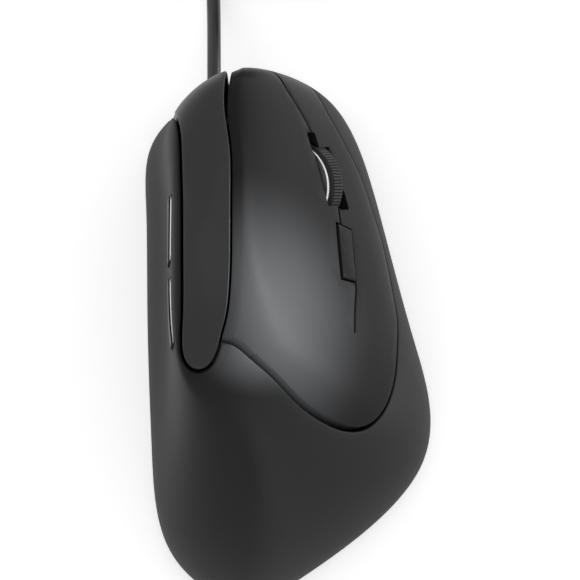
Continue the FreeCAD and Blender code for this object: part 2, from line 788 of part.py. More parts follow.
base_recessed = cut("base_recessed", base_bossed, [window, front_recess, rear_recess])
base_drilled = cut("base_drilled", base_recessed, head_holes + pilots)
base_plate = keep(cut("base_plate", base_drilled, case_bores))


def screw(label, place, head_gap, length):
    """Pan-head screw whose head sits on its placement's plane and whose shank runs down from it."""
    head = Part.makeCylinder(screw_head_radius, screw_head_height)
    shank = Part.makeCylinder(screw_radius, length, Vector(0, 0, -length))
    cross = Part.makeBox(screw_head_radius, head_gap, head_gap)
    cross.translate(Vector(-screw_head_radius / 2, -head_gap / 2, screw_head_height - head_gap))
    return feature(label, head.fuse(shank).cut(cross), place)


# Screws, one group for each set
driver_slot = .5
case_screws = []
for number, (x, y) in enumerate(case_spots, 1):
    spot = plan(x, y, head_level + screw_head_height)
    down = Placement(spot, Rotation(Vector(1, 0, 0), 180))
    case_screws.append(screw("case_screw_%d" % number, down, driver_slot, case_screw_length))
keep(fuse("case_screws", case_screws))
board_screws = []
for number, (x, y) in enumerate(board_spots, 1):
    place = at(x, y, board_level + board_thick)
    board_screws.append(screw("board_screw_%d" % number, place, driver_slot, screw_length))
keep(fuse("board_screws", board_screws))
frame_screws = []
for number, spot in enumerate(flange_spots, 1):
    place = at(spot.x, spot.y, base_top + frame_wall)
    frame_screws.append(screw("frame_screw_%d" % number, place, driver_slot, frame_wall + base_thick / 2))
keep(fuse("frame_screws", frame_screws))

# Inner frame: an upright spine behind the thumb keys, a sloping deck under the finger plate and
# two ribs with legs
spine_back = -.133 * body_length
spine_front = .283 * body_length
spine_top = .90 * body_height
spine = box("spine", "sizes.frame_wall", spine_front - spine_back, spine_top - base_top,
            at(spine_left, spine_back, base_top))
flange_left = -.345 * body_width
flange = box("flange", spine_left - flange_left + frame_wall, spine_front - spine_back,
             "sizes.frame_wall", at(flange_left, spine_back, base_top))
deck_low = frame_top - frame_wall
deck_u = (-.53 * body_height, .265 * body_height)
deck_v = (-.367 * body_length, .179 * body_length)
deck = box("deck", deck_u[1] - deck_u[0], deck_v[1] - deck_v[0], "sizes.frame_wall",
           on_face(deck_u[0], deck_v[0], deck_low))
right_room = box("right_room", wide, deep, body_height * 2, at(spine_left, -deep / 2, 0))
deck_trimmed = common("deck_trimmed", [deck, right_room])
window_half = wheel_stack / 2 + 1
deck_window_half = tyre_radius - 2
window_low = -wheel_sink - tyre_radius - inner_clear
deck_window = box("deck_window", 2 * window_half, 2 * deck_window_half, frame_top - window_low + 1,
                  on_wheel(-window_half, -deck_window_half, window_low))
under_deck = box("under_deck", wide * 2, deep, body_height, on_face(-wide, -deep / 2, deck_low - body_height))
rib_low = .146 * body_height
ribs = []
for label, rib_y, leg_x in (("rear", -.067 * body_length, .165 * body_width),
                            ("front", .200 * body_length, .040 * body_width)):
    rib = box(label + "_rib", body_width / 2, "sizes.frame_wall", body_height * .6, at(spine_left, rib_y, rib_low))
    ribs.append(common(label + "_rib_trimmed", [rib, under_deck]))
    leg = box(label + "_leg", 2.4, "sizes.frame_wall * 2", rib_low - base_top + frame_wall, at(leg_x, rib_y, base_top))
    ribs.append(common(label + "_leg_trimmed", [leg, under_deck]))
stand_spots = [(-.173, -.183), (.206, -.183), (-.160, .146), (.219, .100)]
stands = []
stand_bores = []
button_screws = []
for number, (u, v) in enumerate(stand_spots, 1):
    spot = slope_point(u, v)
    stands.append(cylinder("stand_%d" % number, "sizes.boss_radius * .85", "sizes.board_stand",
                           on_face(spot.x, spot.y, frame_top)))
    stand_bores.append(cylinder("stand_bore_%d" % number, "sizes.screw_radius + sizes.screw_play", 9.0,
                                on_face(spot.x, spot.y, deck_low - 1)))
    button_screws.append(screw("button_screw_%d" % number, on_face(spot.x, spot.y, -board_depth),
                               driver_slot, screw_length))
flange_bores = []
for number, spot in enumerate(flange_spots, 1):
    flange_bores.append(cylinder("flange_bore_%d" % number, "sizes.screw_radius + sizes.screw_play",
                                 "sizes.frame_wall * 3", at(spot.x, spot.y, base_top - frame_wall)))
frame_body = fuse("frame_body", [spine, flange, deck_trimmed] + ribs + stands)
frame_inside = common("frame_inside", [frame_body, room_skin])
inner_frame = keep(cut("inner_frame", frame_inside, [deck_window] + stand_bores + flange_bores))
keep(fuse("button_screws", button_screws))

# Board under the finger buttons, with its switches
board_u = (-.225 * body_height, .252 * body_height)
board_v = (-.217 * body_length, .183 * body_length)
button_sheet = box("button_sheet", board_u[1] - board_u[0], board_v[1] - board_v[0], "sizes.board_thick",
                   on_face(board_u[0], board_v[0], -board_depth - board_thick))
board_window = box("board_window", 2 * window_half, 2 * tyre_radius, "sizes.board_thick * 3",
                   on_wheel(-window_half, -tyre_radius, -board_depth - board_thick * 2))
board_right_room = box("board_right_room", wide, deep, body_height * 2,
                       at(spine_left + frame_wall + inner_clear, -deep / 2, 0))
button_trimmed = common("button_trimmed", [button_sheet, room_skin, board_right_room])
button_board = keep(cut("button_board", button_trimmed, [board_window] + stand_bores))


def micro_switch(label, spot):
    """Snap switch on the sloping board, with a pocket for its plunger."""
    body = Part.makeBox(switch_width, switch_length, switch_height,
                        Vector(-switch_width / 2, -switch_length / 2, 0))
    depth = plunger_sunk + plunger_reach
    pocket = Part.makeCylinder(post_radius + plunger_play, depth,
                               Vector(0, plunger_shift, switch_height - depth))
    groove = Part.makeBox(switch_width + 2, .4, .4, Vector(-switch_width / 2 - 1, 0, switch_height * .55))
    return keep(feature(label, body.cut(pocket).cut(groove), on_face(spot[0], spot[1], -board_depth)))


def tact_switch(label, place, height):
    """Square push switch with a pocket for its plunger."""
    body = Part.makeBox(tact_side, tact_side, height, Vector(-tact_side / 2, -tact_side / 2, 0))
    depth = plunger_sunk + plunger_reach
    pocket = Part.makeCylinder(post_radius + plunger_play, depth, Vector(0, 0, height - depth))
    return keep(feature(label, body.cut(pocket), place))


def plunger(label, place):
    """Short plunger that stands out of a switch by its rise."""
    shape = Part.makeCylinder(post_radius, plunger_sunk - .2 + plunger_rise, Vector(0, 0, .2 - plunger_sunk))
    return keep(feature(label, shape, place))


left_switch = micro_switch("left_switch", left_switch_spot)
right_switch = micro_switch("right_switch", right_switch_spot)
left_plunger = plunger("left_plunger", on_face(left_switch_spot[0], left_switch_spot[1] + plunger_shift, switch_top))
right_plunger = plunger("right_plunger", on_face(right_switch_spot[0], right_switch_spot[1] + plunger_shift, switch_top))
middle_reach = .135 * body_length
middle_switch = tact_switch("middle_switch", on_wheel(0, middle_reach, -board_depth), tact_height)
middle_plunger = plunger("middle_plunger", on_wheel(0, middle_reach, tact_top))
dpi_switch = tact_switch("dpi_switch", on_face(*dpi_switch_spot, -board_depth), tact_height)
dpi_plunger = plunger("dpi_plunger", on_face(*dpi_switch_spot, tact_top))

# Board beside the thumb keys, with its switches
thumb_back = -.10 * body_length
thumb_front = .225 * body_length
thumb_high = 11.0
key_level = (key_base + key_top) / 2
thumb_sheet = box("thumb_sheet", "sizes.board_thick", thumb_front - thumb_back, thumb_high,
                  at(thumb_face, thumb_back, key_level - thumb_high / 2))
thumb_board = keep(common("thumb_board", [thumb_sheet, room_skin]))
left_facing = Rotation(Vector(0, 1, 0), -90)
for label, middle in (("forward", forward_middle), ("back", back_middle)):
    tact_switch(label + "_switch", Placement(Vector(thumb_face, middle, key_level), left_facing), side_tact_height)
    plunger(label + "_plunger", Placement(Vector(side_switch_face, middle, key_level), left_facing))

# Wheel: tyre, hub, bright ring and axle
spin_x = Rotation(Vector(0, 1, 0), 90)
wheel_frame = Placement(wheel_place.Base, wheel_face.Rotation * spin_x)


def disc(radius, start, length):
    """Cylinder about the wheel's axle, from a place along it."""
    return Part.makeCylinder(radius, length, Vector(0, 0, start))


def tyre_shape():
    """Rubber tyre with ribs across its tread."""
    step = 2 * math.pi / tread_ribs
    corners = []
    for rib in range(tread_ribs):
        for share, radius in ((0, tyre_radius), (.5, tyre_radius), (.62, tyre_radius - tread_depth),
                              (.88, tyre_radius - tread_depth)):
            angle = (rib + share) * step
            corners.append(Vector(radius * math.cos(angle), radius * math.sin(angle), 0))
    outline = Part.Face(Part.makePolygon(corners + corners[:1]))
    band = outline.extrude(Vector(0, 0, tyre_width))
    band.translate(Vector(0, 0, ring_width - half_stack))
    return band.cut(disc(tyre_seat, -half_stack, wheel_stack))


hub_side = tyre_width * .22
hub = disc(tyre_seat, ring_width - half_stack, tyre_width)
hub_dish = disc(tyre_seat * .78, half_stack - hub_side, hub_side).cut(disc(tyre_seat * .36, 0, wheel_stack))
hub = hub.cut(hub_dish).cut(disc(axle_radius, -wheel_stack, 2 * wheel_stack))
ring_radius = tyre_radius - ring_drop
ring = disc(ring_radius, -half_stack, ring_width).cut(disc(tyre_seat * .8, -wheel_stack, wheel_stack * 2))
axle_start = -cheek_outer - .6
axle_end = cheek_outer + encoder_reach * .7
wheel_tyre = keep(feature("wheel_tyre", tyre_shape(), wheel_frame))
wheel_hub = keep(feature("wheel_hub", hub, wheel_frame))
wheel_ring = keep(feature("wheel_ring", ring, wheel_frame))
wheel_axle = keep(feature("wheel_axle", disc(axle_radius, axle_start, axle_end - axle_start), wheel_frame))

# Cradle that carries the wheel. It tips on a pin behind the wheel and presses the middle switch.
cradle_half = tyre_radius + .5
cradle_end = cradle_half + cradle_wall
pivot_back = cradle_end + 1.2
tab_reach = middle_reach + 1.5
tab_low = tact_top + plunger_rise + post_play * 2 + wheel_sink
tab_thick = 1.6
pivot_reach = 1.6
bore_axle = axle_radius + axle_play
bore_pivot = pivot_radius + axle_play


def cradle_block(u_low, u_high, v_low, v_high, w_low, w_high):
    """Box in the wheel's own frame, which has u down the slope and w outwards."""
    return Part.makeBox(u_high - u_low, v_high - v_low, w_high - w_low, Vector(u_low, v_low, w_low))


def across(radius, u_start, u_end, v=0.0):
    """Rod along u in the wheel's own frame."""
    return Part.makeCylinder(radius, u_end - u_start, Vector(u_start, v, 0), Vector(1, 0, 0))


half_height = cradle_height / 2
cradle = cradle_block(-cheek_outer, cheek_outer, -cradle_end, cradle_end, -half_height, half_height)
cradle = cradle.cut(cradle_block(-cheek_inner, cheek_inner, -cradle_half, cradle_half, -half_height, half_height))
for sign in (-1, 1):
    near, far = sorted((sign * cheek_inner, sign * cheek_outer))
    ear = cradle_block(near, far, -pivot_back - pivot_reach, -cradle_end, -pivot_reach, pivot_reach)
    cradle = cradle.fuse(ear)
tab = cradle_block(-2.5, 2.5, cradle_end - cradle_wall, tab_reach, tab_low, tab_low + tab_thick)
cradle = cradle.fuse(tab)
cradle = cradle.cut(across(bore_axle, -cheek_outer - 1, cheek_outer + 1))
cradle = cradle.cut(across(bore_pivot, -cheek_outer - 1, cheek_outer + 1, -pivot_back))
wheel_cradle = keep(feature("wheel_cradle", cradle.removeSplitter(), wheel_place))
bracket_low = wheel_sink - board_depth
encoder_low = bracket_low + 1.0
encoder = cradle_block(cheek_outer, cheek_outer + encoder_reach, -5, 5, encoder_low, 3)
encoder = encoder.cut(across(bore_axle, cheek_outer - 1, cheek_outer + encoder_reach * .8))
wheel_encoder = keep(feature("wheel_encoder", encoder, wheel_place))
bracket_inner = cheek_outer + .3
bracket_outer = bracket_inner + cradle_wall
bracket = cradle_block(-bracket_outer, bracket_outer, -pivot_back - 1.7, -pivot_back + 1.3, bracket_low, 1.7)
bracket = bracket.cut(cradle_block(-bracket_inner, bracket_inner, -pivot_back - 2, -pivot_back + 2,
                                   bracket_low + 1.3, 2))
bracket = bracket.cut(across(pivot_radius, -bracket_outer - 1, bracket_outer + 1, -pivot_back))
wheel_bracket = keep(feature("wheel_bracket", bracket, wheel_place))
pivot_pin = keep(feature("pivot_pin", across(pivot_radius, -bracket_outer, bracket_outer, -pivot_back), wheel_place))

# Main board with the parts on it
main_sheet = box("main_sheet", board_right - board_left, board_front - board_rear, "sizes.board_thick",
                 at(board_left, board_rear, board_level))
main_bores = []
for number, (x, y) in enumerate(board_spots, 1):
    main_bores.append(cylinder("main_bore_%d" % number, "sizes.screw_radius + sizes.screw_play", 6.0,
                               at(x, y, board_level - 2)))
aperture = box("aperture", 5.0, 5.0, 6.0, at(sensor_spot.x - 2.5, sensor_spot.y - 2.5, board_level - 2))
main_board = keep(cut("main_board", main_sheet, main_bores + [aperture]))
board_face = board_level + board_thick
sensor_chip = keep(box("sensor_chip", 9.0, 11.0, 2.4, at(sensor_spot.x - 4.5, sensor_spot.y - 5.5, board_face)))
lens_base = box("lens_base", 9.4, 16.4, 2.2, at(sensor_spot.x - 4.7, sensor_spot.y - 8.2, rim_lift + .8))
lens_body = box("lens_body", 7.0, 12.0, board_level - rim_lift - 3.0,
                at(sensor_spot.x - 3.5, sensor_spot.y - 6.0, rim_lift + 3.0))
lens_dome = cylinder("lens_dome", 1.8, 1.0, at(sensor_spot.x, sensor_spot.y, board_level))
sensor_lens = keep(fuse("sensor_lens", [lens_base, lens_body, lens_dome]))
light_source = keep(cylinder("light_source", 1.5, 5.0,
                             along_y(sensor_spot.x, sensor_spot.y + 6.0, board_face + 1.6)))
controller_chip = keep(box("controller_chip", 7.0, 7.0, 1.4,
                           at(sensor_spot.x - 3.5, sensor_spot.y - 14.5, board_face)))
connector_spot = (board_left + 4.0, board_front - 11.0)
cord_connector = keep(box("cord_connector", 6.0, 5.0, 4.0, at(connector_spot[0], connector_spot[1], board_face)))


def rounded_route(points, label):
    """Straight runs joined by tangent arcs, each as large as its two runs allow."""
    edges = []
    length = 0.0
    start = points[0]
    for behind, corner, ahead in zip(points, points[1:], points[2:]):
        run_in = corner - behind
        run_out = ahead - corner
        turn = run_in.getAngle(run_out)
        shorter = min(run_in.Length, run_out.Length)
        radius = arc_share * shorter / math.tan(turn / 2)
        to_arc = corner - run_in.normalize() * (arc_share * shorter)
        from_arc = corner + run_out.normalize() * (arc_share * shorter)
        inward = (run_out - run_in).normalize()
        middle = corner + inward * (radius / math.cos(turn / 2) - radius)
        arc = Part.Arc(to_arc, middle, from_arc).toShape()
        edges.append(Part.makeLine(start, to_arc))
        edges.append(arc)
        length += (to_arc - start).Length + radius * turn
        start = from_arc
        print("%s radius %.1f turn %.0f run %.1f" % (label, radius, math.degrees(turn), (corner - behind).Length))
    edges.append(Part.makeLine(start, points[-1]))
    length += (points[-1] - start).Length
    return Part.Wire(edges), length


def round_tube(label, points, radius):
    """Round tube along a route, with its volume compared with section times length."""
    wire, length = rounded_route(points, label)
    circle = Part.Wire([Part.makeCircle(radius, points[0], points[1] - points[0])])
    tube = wire.makePipeShell([circle], True, False)
    print("%s length %.1f volume ratio %.4f" % (label, length, tube.Volume / (math.pi * radius ** 2 * length)))
    return feature(label, tube), length


# Strain relief, and the lead inside from it to the connector
arc_share = .45
flange_radius = relief_radius + 1.2
flange_thick = 1.6
nose_inner = nose_point.y
for sign in (-1, 1):
    beside = Vector(cord_x + sign * flange_radius, 0, cord_exit_height)
    nose_inner = min(nose_inner, skin_hit(beside, Vector(0, 1, 0), inner_skin).y)
flange_front = nose_inner - .3
lead_start = flange_front - flange_thick
relief_profile = [(0, lead_start), (flange_radius, lead_start), (flange_radius, flange_front),
                  (relief_radius - .1, flange_front), (relief_radius - .1, nose_point.y + 1.2),
                  (cord_radius + .7, relief_end), (0, relief_end)]
relief_points = [Vector(radius, y, 0) for radius, y in relief_profile]
relief_face = Part.Face(Part.makePolygon(relief_points + relief_points[:1]))
relief_shape = relief_face.revolve(Vector(), Vector(0, 1, 0), 360)
strain_relief = keep(feature("strain_relief", relief_shape, at(cord_x, 0, cord_exit_height)))
lead_radius = 1.4
plug_point = Vector(connector_spot[0] + 3.0, connector_spot[1] + 5.0, board_face + 2.0)
lead_route = [
    Vector(cord_x, lead_start, cord_exit_height),
    Vector(cord_x, lead_start - 4.5, cord_exit_height),
    Vector(cord_x + 3.0, lead_start - 9.0, cord_exit_height + 1.5),
    Vector(plug_point.x, plug_point.y + 5.0, plug_point.z),
    plug_point,
]
inner_lead, inner_length = round_tube("inner_lead", lead_route, lead_radius)
keep(inner_lead)

# Cord: the stretch from the strain relief to the coil
floor_level = cord_radius + .05
cord_ahead = (8, 22, 41, 59.5)
cord_aside = (0, -.2, -.8, -.8)
cord_start = Vector(cord_x, relief_end, cord_exit_height)
cord_route = [cord_start]
for number, (ahead, aside) in enumerate(zip(cord_ahead, cord_aside)):
    level = cord_exit_height if number == 0 else floor_level
    cord_route.append(Vector(cord_x + aside, relief_end + ahead, level))
cord_run, run_length = round_tube("cord_run", cord_route, cord_radius)
keep(cord_run)

# Coil of the rest of the cord. Its turns spiral in and out in four layers, each half turn half a
# step nearer or further, and it climbs a layer where the spiral reverses.
coil_sides = 6
coil_step = cord_diameter + coil_gap
coil_layers = 4
coil_inner = coil_radius - coil_step * coil_turns
climb_bulge = coil_step * .42
coil_start = cord_route[-1]
coil_centre = coil_start + Vector(coil_radius, 0, 0)


def half_turns():
    """Radius, centre shift along X, level and climb of each half turn, top and bottom in turn."""
    turns = []
    half_step = coil_step / 2
    for layer in range(coil_layers):
        level = layer * coil_step
        inward = layer % 2 == 0
        if inward:
            for index in range(coil_turns):
                radius = coil_radius - index * coil_step
                turns.append((radius, 0, level, 0))
                turns.append((radius - half_step, half_step, level, 0))
            turns.append((coil_inner, 0, level, coil_step))
        else:
            for index in range(coil_turns):
                radius = coil_inner + index * coil_step
                turns.append((radius + half_step, -half_step, level, 0))
                turns.append((radius + coil_step, 0, level, 0))
            if layer < coil_layers - 1:
                turns.append((coil_radius, 0, level, coil_step))
            else:
                turns.append((coil_radius + half_step, -half_step, level, 0))
    return turns


def coil_edges():
    """Arcs of a quarter turn that carry the coil round, top half turns first."""
    edges = []
    points = []
    for index, (radius, shift, level, climb) in enumerate(half_turns()):
        sign = 1 if index % 2 == 0 else -1
        centre = coil_centre + Vector(shift, 0, level)
        start = centre + Vector(-sign * radius, 0, 0)
        bulge = climb_bulge if climb and sign < 0 else 0
        summit = centre + Vector(0, sign * (radius + bulge), climb / 2)
        end = centre + Vector(sign * radius, 0, climb)
        if climb:
            edges += climbing_pair(start, summit, Vector(0, sign, 0), Vector(sign, 0, climb / (2 * radius)))
            edges += climbing_pair(end, summit, Vector(0, sign, 0), Vector(-sign, 0, -climb / (2 * radius)), True)
        else:
            lean = radius * math.sqrt(.5)
            first = centre + Vector(-sign * lean, sign * lean, 0)
            second = centre + Vector(sign * lean, sign * lean, 0)
            edges.append(Part.Arc(start, first, summit).toShape())
            edges.append(Part.Arc(summit, second, end).toShape())
    return edges


def climbing_pair(start, end, leaving, arriving, backwards=False):
    """Two tangent arcs from a point and its direction to another and its own."""
    leave = Vector(leaving).normalize()
    arrive = Vector(arriving).normalize()
    chord = end - start
    total = leave + arrive
    square = 2 * (1 - leave.dot(arrive))
    along = chord.dot(total)
    reach = (-along + math.sqrt(along ** 2 + square * chord.dot(chord))) / square
    first_corner = start + leave * reach
    second_corner = end - arrive * reach
    joint = (first_corner + second_corner) * .5
    arcs = []
    for begin, corner, finish in ((start, first_corner, joint), (joint, second_corner, end)):
        middle = (begin + finish) * .5
        half_angle = (corner - begin).getAngle(finish - begin)
        rise = (middle - corner).Length
        depth = (finish - begin).Length / 2 * math.tan(half_angle / 2)
        through = middle + (corner - middle) * (depth / rise)
        arcs.append(Part.Arc(begin, through, finish).toShape())
    return arcs[::-1] if backwards else arcs


tail_start = coil_start + Vector(-coil_step, 0, coil_step * (coil_layers - 1))
plug_axis = plug_height / 2
tail_aside = -2.5
tail_ahead = (14, 36, 49)
tail_route = [
    tail_start,
    tail_start + Vector(0, tail_ahead[0], 0),
    Vector(tail_start.x + tail_aside, tail_start.y + tail_ahead[1], plug_axis),
    Vector(tail_start.x + tail_aside, tail_start.y + tail_ahead[2], plug_axis),
]
tail_wire, tail_length = rounded_route(tail_route, "cord_coil tail")
coil_wire = Part.Wire(coil_edges() + tail_wire.Edges)
corners = []
corner_radius = cord_radius * 1.06
for side in range(coil_sides + 1):
    angle = 2 * math.pi * side / coil_sides
    corners.append(coil_start + Vector(corner_radius * math.cos(angle), 0, corner_radius * math.sin(angle)))
coil_shape = coil_wire.makePipeShell([Part.makePolygon(corners)], True, False)
section_area = coil_sides / 2 * corner_radius ** 2 * math.sin(2 * math.pi / coil_sides)
print("coil length %.1f volume ratio %.4f valid %s bottom %.3f" % (
    coil_wire.Length, coil_shape.Volume / (section_area * coil_wire.Length), coil_shape.isValid(),
    coil_shape.BoundBox.ZMin))
cord_coil = keep(feature("cord_coil", coil_shape))
print("cord length %.0f" % (run_length + coil_wire.Length))


def least_gap(wire, radius):
    """Least gap of a tube to itself, on points along it."""
    points = wire.discretize(Distance=2.0)
    skip = int(math.pi * radius * 2 / 2.0) + 4
    least = body_length
    for index, point in enumerate(points):
        for other in points[index + skip:]:
            if abs(point.x - other.x) < least and abs(point.y - other.y) < least:
                least = min(least, (point - other).Length)
    return least - 2 * radius


print("coil gap to itself %.2f" % least_gap(coil_wire, corner_radius))

# Plug on the cord's end
relief_length = 10.0
plug_start = tail_route[-1]
plug_frame = along_y(plug_start.x, plug_start.y, plug_start.z)
plug_cone = Part.makeCone(cord_radius + .4, cord_radius + 1.4, relief_length)
plug_relief = keep(feature("plug_relief", plug_cone, plug_frame))
grip = rounded_prism(plug_width, plug_height, plug_length, 2.0)
plug_body = keep(feature("plug_body", grip, Placement(
    plug_start + Vector(0, relief_length, 0), Rotation(Vector(1, 0, 0), -90))))
usb_start = plug_start.y + relief_length + plug_length
usb_sleeve = box("usb_sleeve", "sizes.usb_width", "sizes.usb_reach", "sizes.usb_height",
                 at(plug_start.x - usb_width / 2, usb_start, plug_axis - usb_height / 2))
usb_hollow = box("usb_hollow", "sizes.usb_width - 2 * sizes.usb_wall", "sizes.usb_reach * 2",
                 "sizes.usb_height - 2 * sizes.usb_wall",
                 at(plug_start.x - usb_width / 2 + usb_wall, usb_start, plug_axis - usb_height / 2 + usb_wall))
latch_side = 2.2
latches = []
for sign in (-1, 1):
    latches.append(box("latch_%d" % (sign + 2), latch_side, latch_side, usb_height * 2,
                       at(plug_start.x + sign * usb_width * .2 - latch_side / 2, usb_start + usb_reach * .45,
                          plug_axis - usb_height)))
plug_shell = keep(cut("plug_shell", usb_sleeve, [usb_hollow] + latches))
tongue_high = 1.84
tongue_level = plug_axis + usb_height / 2 - usb_wall - tongue_high
tongue = box("plug_tongue", "sizes.usb_width - 2 * sizes.usb_wall", "sizes.usb_reach - 0.4", tongue_high,
             at(plug_start.x - usb_width / 2 + usb_wall, usb_start, tongue_level))
keep(tongue)
contacts = []
for index in range(4):
    contacts.append(box("contact_%d" % index, 1.0, usb_reach * .6, .15,
                        at(plug_start.x - 3.9 + index * 2.27, usb_start + usb_reach * .3, tongue_level - .15)))
keep(fuse("plug_contacts", contacts))

doc.recompute()
os.makedirs("parts", exist_ok=True)
trouble = []
for item in doc.Objects:
    if "Invalid" in item.State or "Error" in item.State:
        trouble.append(item.Label)
for item in nodes:
    shape = item.Shape
    if shape.isNull() or not shape.isValid() or not shape.Solids:
        trouble.append(item.Label)
    else:
        shape.exportStep("parts/%s.step" % item.Label)
    print("%-18s solids %d volume %9.1f" % (item.Label, len(shape.Solids), shape.Volume))
if trouble:
    raise RuntimeError("these pieces failed: " + ", ".join(trouble))
print("nodes", len(nodes))
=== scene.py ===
"""Looks of a wired right-hand vertical mouse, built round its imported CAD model.

The frame has +X to the finger side, +Y to the nose where the cord leaves and +Z up, in metres.
"""

import json
import logging
import math
from dataclasses import dataclass, field
from enum import Enum
from typing import Optional, Sequence

import bmesh
import bpy
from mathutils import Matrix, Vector
from mathutils.bvhtree import BVHTree

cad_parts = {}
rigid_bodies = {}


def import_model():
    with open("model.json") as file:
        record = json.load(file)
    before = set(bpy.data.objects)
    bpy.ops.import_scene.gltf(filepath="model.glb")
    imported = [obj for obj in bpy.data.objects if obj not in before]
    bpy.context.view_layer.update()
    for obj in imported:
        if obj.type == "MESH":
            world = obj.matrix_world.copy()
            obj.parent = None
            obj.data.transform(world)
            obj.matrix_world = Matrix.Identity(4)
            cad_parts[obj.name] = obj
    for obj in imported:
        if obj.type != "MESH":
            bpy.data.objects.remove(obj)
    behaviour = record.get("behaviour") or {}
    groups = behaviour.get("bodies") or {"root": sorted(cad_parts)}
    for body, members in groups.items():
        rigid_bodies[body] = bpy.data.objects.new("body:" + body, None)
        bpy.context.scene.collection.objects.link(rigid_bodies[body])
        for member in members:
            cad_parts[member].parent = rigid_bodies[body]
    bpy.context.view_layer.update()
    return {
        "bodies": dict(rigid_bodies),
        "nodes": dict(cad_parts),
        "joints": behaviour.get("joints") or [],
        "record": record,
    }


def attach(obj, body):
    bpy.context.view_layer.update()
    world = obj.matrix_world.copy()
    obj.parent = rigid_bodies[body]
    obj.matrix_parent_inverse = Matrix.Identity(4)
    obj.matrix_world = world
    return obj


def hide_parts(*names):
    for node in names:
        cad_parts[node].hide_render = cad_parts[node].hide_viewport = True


log = logging.getLogger("mouse")

MM = 0.001
ANY_HEIGHT = 1000.0
WELD = 1e-7


class Grain(Enum):
    """How a moulded surface is grained."""

    SPARK = "spark"
    SATIN = "satin"


@dataclass(frozen=True)
class PaintedSheen:
    """A painted highlight: a soft oval, seen from above, where a finish's colour is made paler.

    It stands in for the broad sheen of the photograph's lights, and stays put in every view.
    """

    place: tuple[float, float]
    reach: tuple[float, float]
    colour: tuple[float, float, float]
    core: float = 0.15


@dataclass(frozen=True)
class Moulding:
    """A moulded plastic or rubber finish with a fine grain and slight mottling."""

    name: str
    colour: tuple[float, float, float]
    roughness: float
    grain: Grain = Grain.SPARK
    grain_size: float = 0.22 * MM
    grain_depth: float = 0.25
    specular: float = 0.15
    ior: float = 1.5
    # An optional painted highlight: a paler colour painted in a soft oval.
    painted_sheen: Optional[PaintedSheen] = None
    mottling_scale: float = 60.0
    mottling_detail: float = 4.0
    tint_spread: float = 0.06
    roughness_spread: float = 0.03
    bump_distance: float = 0.03 * MM

    def build(self) -> bpy.types.Material:
        """Make the material.

        Returns:
            The material, with its grain, mottling, any painted highlight and roughness in nodes.
        """
        material, nodes, links, shader = new_material(self.name)
        place = nodes.new("ShaderNodeTexCoord")
        mottling = nodes.new("ShaderNodeTexNoise")
        mottling.inputs["Scale"].default_value = self.mottling_scale
        mottling.inputs["Detail"].default_value = self.mottling_detail
        links.new(place.outputs["Object"], mottling.inputs["Vector"])
        tint = nodes.new("ShaderNodeMix")
        tint.data_type = "RGBA"
        darker, paler = 1 - self.tint_spread, 1 + self.tint_spread
        tint.inputs["A"].default_value = (*[c * darker for c in self.colour], 1.0)
        tint.inputs["B"].default_value = (*[min(c * paler, 1.0) for c in self.colour], 1.0)
        links.new(mottling.outputs["Fac"], tint.inputs["Factor"])
        colour = tint.outputs["Result"]
        # Painted highlight: the base colour is made paler inside the oval.
        if self.painted_sheen:
            colour = self._paint_sheen(nodes, links, place, colour)
        links.new(colour, shader.inputs["Base Color"])
        gloss = nodes.new("ShaderNodeMapRange")
        gloss.inputs["To Min"].default_value = self.roughness - self.roughness_spread
        gloss.inputs["To Max"].default_value = self.roughness + self.roughness_spread
        links.new(mottling.outputs["Fac"], gloss.inputs["Value"])
        links.new(gloss.outputs["Result"], shader.inputs["Roughness"])
        self._grain(nodes, links, place, shader)
        shader.inputs["Specular IOR Level"].default_value = self.specular
        shader.inputs["IOR"].default_value = self.ior
        return material

    def _paint_sheen(self, nodes: bpy.types.Nodes, links: bpy.types.NodeLinks, place: bpy.types.Node,
                 colour: bpy.types.NodeSocket) -> bpy.types.NodeSocket:
        """Paint a highlight: blend a colour into the paler one inside the oval.

        Args:
            nodes: The material's nodes.
            links: Their links.
            place: The texture coordinates.
            colour: The plain colour.

        Returns:
            The socket with the blended colour.
        """
        oval = nodes.new("ShaderNodeMapping")
        oval.vector_type = "TEXTURE"
        oval.inputs["Location"].default_value = (*self.painted_sheen.place, 0.0)
        oval.inputs["Scale"].default_value = (*self.painted_sheen.reach, ANY_HEIGHT)
        links.new(place.outputs["Object"], oval.inputs["Vector"])
        length = nodes.new("ShaderNodeVectorMath")
        length.operation = "LENGTH"
        links.new(oval.outputs["Vector"], length.inputs[0])
        share = nodes.new("ShaderNodeMapRange")
        share.interpolation_type = "SMOOTHSTEP"
        share.inputs["From Min"].default_value = 1.0
        share.inputs["From Max"].default_value = self.painted_sheen.core
        links.new(length.outputs["Value"], share.inputs["Value"])
        blend = nodes.new("ShaderNodeMix")
        blend.data_type = "RGBA"
        blend.inputs["B"].default_value = (*self.painted_sheen.colour, 1.0)
        links.new(share.outputs["Result"], blend.inputs["Factor"])
        links.new(colour, blend.inputs["A"])
        return blend.outputs["Result"]

    def _grain(self, nodes: bpy.types.Nodes, links: bpy.types.NodeLinks,
               place: bpy.types.Node, shader: bpy.types.Node) -> None:
        """Add the fine grain of the mould as a bump.

        Args:
            nodes: The material's nodes.
            links: Their links.
            place: The texture coordinates.
            shader: The material's shader node.
        """
        pits = nodes.new(
            "ShaderNodeTexNoise" if self.grain is Grain.SATIN else "ShaderNodeTexVoronoi")
        pits.inputs["Scale"].default_value = 1.0 / self.grain_size
        links.new(place.outputs["Object"], pits.inputs["Vector"])
        bump = nodes.new("ShaderNodeBump")
        bump.inputs["Strength"].default_value = self.grain_depth
        bump.inputs["Distance"].default_value = self.bump_distance
        output = "Fac" if self.grain is Grain.SATIN else "Distance"
        links.new(pits.outputs[output], bump.inputs["Height"])
        links.new(bump.outputs["Normal"], shader.inputs["Normal"])


